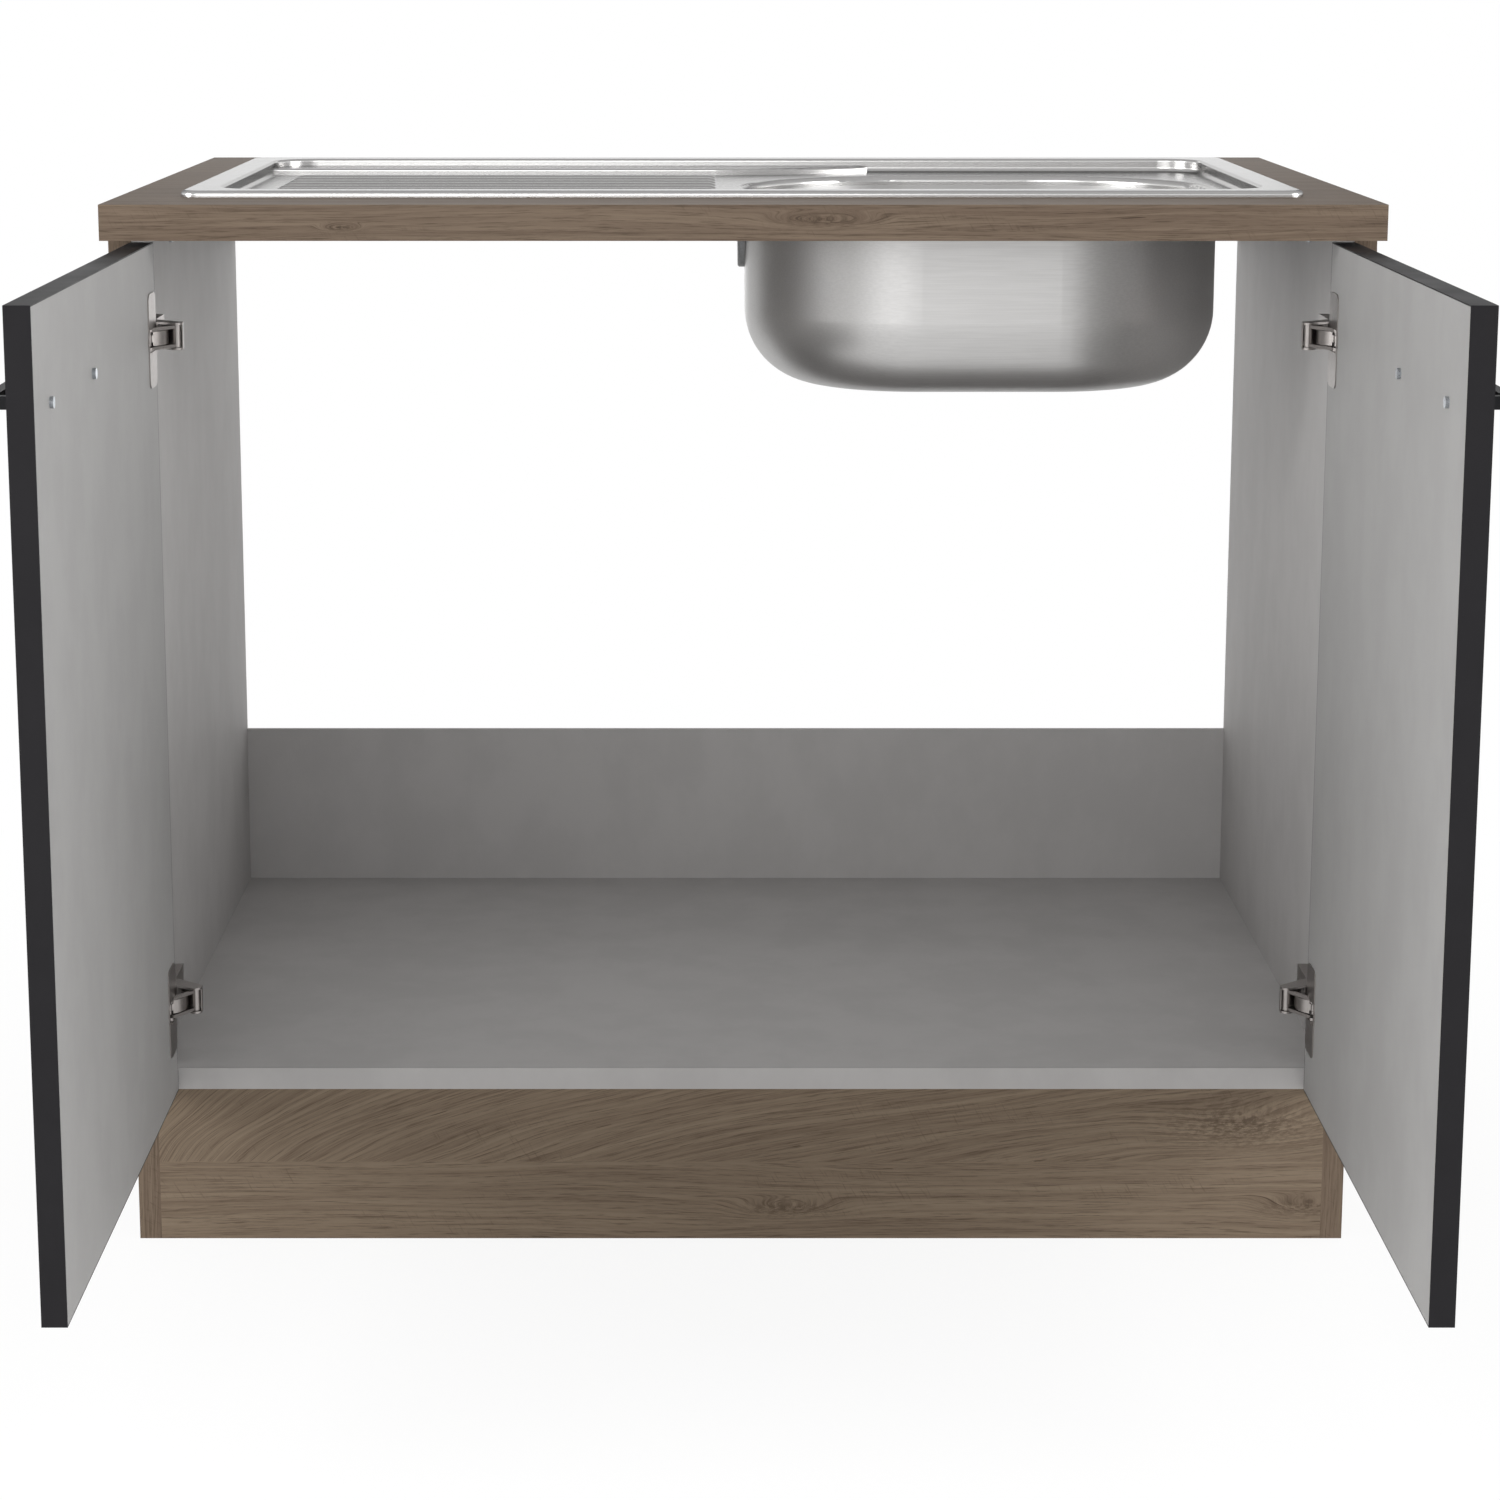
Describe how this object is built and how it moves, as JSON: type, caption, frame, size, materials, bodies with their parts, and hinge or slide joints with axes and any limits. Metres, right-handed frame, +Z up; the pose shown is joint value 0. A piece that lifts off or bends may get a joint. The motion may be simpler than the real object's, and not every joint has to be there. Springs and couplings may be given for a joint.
{
  "type": "kitchen sink unit",
  "caption": "Kitchen base unit with an inset steel sink and ribbed drainer, an oak-decor worktop, a shelf, an open back and dark doors with bar handles on concealed hinges.",
  "frame": {"origin": "on the floor, centre of the plinth's underside, mid-width of the unit", "axes": "+Z up, +Y to the wall, +X to the right seen from the front"},
  "size_m": [1.02, 1.094, 0.8652],
  "materials": {
    "oak_decor": "laminate with printed grey-brown oak grain, matt",
    "side_board": "chipboard, oak decor outside and light grey melamine inside",
    "grey_board": "light grey melamine-faced board, matt",
    "grey_edging": "bonded light grey edge strip",
    "door_board": "chipboard, matt anthracite outside and light grey inside",
    "door_edging": "bonded anthracite edge strip",
    "handle_metal": "matt black powder coat",
    "sink_steel": "brushed stainless steel",
    "nickel_steel": "nickel-plated pressed steel",
    "zinc_steel": "bright zinc-plated steel",
    "grey_plastic": "moulded grey plastic",
    "foam_seal": "closed-cell foam strip",
    "beech": "fluted beech dowel"
  },
  "bodies": {
    "cabinet": {"worktop": "oak_decor", "worktop_edging": "oak_decor", "plinth": "oak_decor", "left_side_edging": "oak_decor", "right_side_edging": "oak_decor", "left_side_panel": "side_board", "right_side_panel": "side_board", "bottom_shelf": "grey_board", "rear_strip": "grey_board", "rear_rail": "grey_board", "shelf_edging": "grey_edging", "sink_deck": "sink_steel", "sink_bowl": "sink_steel", "sink_seal": "foam_seal", "sink_clamps": "zinc_steel", "sink_clamp_screws": "zinc_steel", "overflow_cap": "grey_plastic", "overflow_rose": "sink_steel", "overflow_screw": "zinc_steel", "worktop_brackets": "zinc_steel", "bracket_screws": "zinc_steel", "carcass_dowels": "beech", "carcass_screws": "zinc_steel", "strip_nails": "zinc_steel", "left_hinge_arms": "nickel_steel", "left_hinge_arm_pins": "nickel_steel", "left_hinge_arm_screws": "nickel_steel", "left_hinge_plates": "nickel_steel", "left_hinge_plate_screws": "nickel_steel", "right_hinge_arms": "nickel_steel", "right_hinge_arm_pins": "nickel_steel", "right_hinge_arm_screws": "nickel_steel", "right_hinge_plates": "nickel_steel", "right_hinge_plate_screws": "nickel_steel"},
    "left_door": {"left_door_panel": "door_board", "left_door_edging": "door_edging", "left_handle": "handle_metal", "left_handle_screws": "zinc_steel", "left_hinge_cups": "nickel_steel", "left_hinge_cup_pins": "nickel_steel", "left_hinge_cup_screws": "zinc_steel"},
    "left_outer_links": {"left_hinge_outer_links": "nickel_steel"},
    "left_inner_links": {"left_hinge_inner_links": "nickel_steel"},
    "right_door": {"right_door_panel": "door_board", "right_door_edging": "door_edging", "right_handle": "handle_metal", "right_handle_screws": "zinc_steel", "right_hinge_cups": "nickel_steel", "right_hinge_cup_pins": "nickel_steel", "right_hinge_cup_screws": "zinc_steel"},
    "right_outer_links": {"right_hinge_outer_links": "nickel_steel"},
    "right_inner_links": {"right_hinge_inner_links": "nickel_steel"}
  },
  "joints": [
    {"name": "right_outer_link_swing", "type": "hinge", "parent": "cabinet", "child": "right_outer_links", "pos_m": [0.46386, 0.00819, 0.479], "axis": [0, 0, 1], "range_deg": [-1.92, 34.48]},
    {"name": "right_door_hinge", "type": "hinge", "parent": "right_outer_links", "child": "right_door", "pos_m": [0.468, -0.024, 0.479], "axis": [0, 0, 1], "range_deg": [-124.49, 6.92]},
    {"name": "right_inner_link_swing", "type": "hinge", "parent": "cabinet", "child": "right_inner_links", "pos_m": [0.44902, -0.00269, 0.479], "axis": [0, 0, 1], "range_deg": [-1.76, 31.61]},
    {"name": "left_outer_link_swing", "type": "hinge", "parent": "cabinet", "child": "left_outer_links", "pos_m": [-0.46386, 0.00819, 0.479], "axis": [0, 0, -1], "range_deg": [-1.92, 34.48]},
    {"name": "left_door_hinge", "type": "hinge", "parent": "left_outer_links", "child": "left_door", "pos_m": [-0.468, -0.024, 0.479], "axis": [0, 0, -1], "range_deg": [-124.49, 6.92]},
    {"name": "left_inner_link_swing", "type": "hinge", "parent": "cabinet", "child": "left_inner_links", "pos_m": [-0.44902, -0.00269, 0.479], "axis": [0, 0, -1], "range_deg": [-1.76, 31.61]}
  ],
  "couplings": [
    {"joint": "right_door_hinge", "follows": "right_outer_link_swing", "ratio": -3.6099},
    {"joint": "right_inner_link_swing", "follows": "right_outer_link_swing", "ratio": 0.91673},
    {"joint": "left_door_hinge", "follows": "left_outer_link_swing", "ratio": -3.6099},
    {"joint": "left_inner_link_swing", "follows": "left_outer_link_swing", "ratio": 0.91673}
  ]
}
